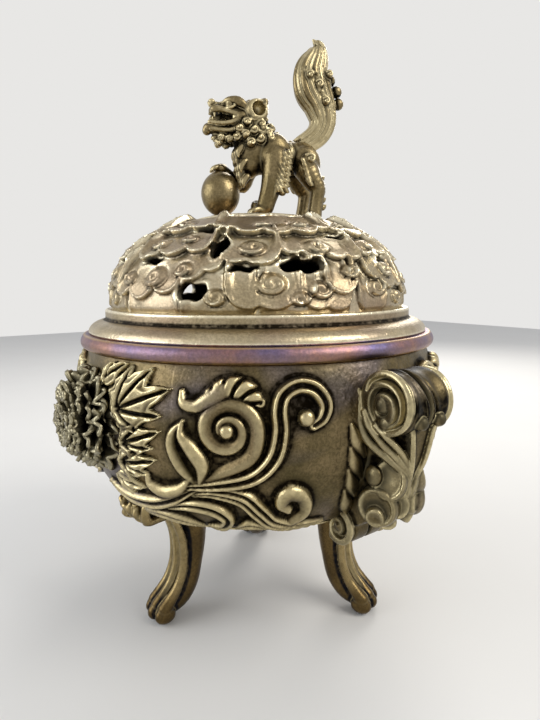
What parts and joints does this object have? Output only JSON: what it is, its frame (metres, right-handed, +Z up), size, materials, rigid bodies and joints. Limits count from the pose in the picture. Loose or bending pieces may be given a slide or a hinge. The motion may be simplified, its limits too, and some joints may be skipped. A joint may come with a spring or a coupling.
{
  "type": "incense burner",
  "caption": "Round lidded incense burner in cast brass on paw feet, with scroll handles, peonies, strapwork, a pierced cloud lid and a lion finial.",
  "frame": {"origin": "on the surface that the burner stands on, under the bowl's axis", "axes": "+Z up along the axis that the lid lifts along, -Y towards the front peony, +X and -X towards the handles"},
  "size_m": [0.1686, 0.1552, 0.2163],
  "materials": {
    "bowl_brass": "dark antique patina",
    "trim_brass": "antique patina, rubbed bright on the ridges",
    "flower_brass": "grey antique patina, rubbed bright on the edges",
    "bright_brass": "polished, darker in the flutes",
    "tinted_brass": "turned, with a heat tint",
    "lid_brass": "pale, lightly pitted cast",
    "lion_brass": "antique patina",
    "screw_steel": "turned"
  },
  "bodies": {
    "burner": {"bowl": "bowl_brass", "mouth_ring": "tinted_brass", "leg_front": "bright_brass", "leg_right": "bright_brass", "leg_left": "bright_brass", "leg_screws": "screw_steel", "leg_washers": "screw_steel", "handle_right": "trim_brass", "handle_left": "trim_brass", "handle_screws": "screw_steel", "handle_washers": "screw_steel", "peony_front": "flower_brass", "peony_back": "flower_brass", "peony_leaves_front": "trim_brass", "peony_leaves_back": "trim_brass", "peony_screws": "screw_steel", "peony_washers": "screw_steel", "scroll_front_right": "trim_brass", "scroll_front_left": "trim_brass", "scroll_back_right": "trim_brass", "scroll_back_left": "trim_brass"},
    "lid": {"lid_flange": "lid_brass", "lid_dome": "lid_brass", "crown_plate": "lid_brass", "lion_body": "lion_brass", "lion_tail": "lion_brass", "lion_ball": "lid_brass", "finial_bolt": "screw_steel", "finial_washer": "screw_steel", "finial_nut": "screw_steel"}
  },
  "joints": [
    {"name": "lid_lift", "type": "slide", "parent": "burner", "child": "lid", "axis": [0, 0, 1], "range_m": [0, 0.06]}
  ]
}
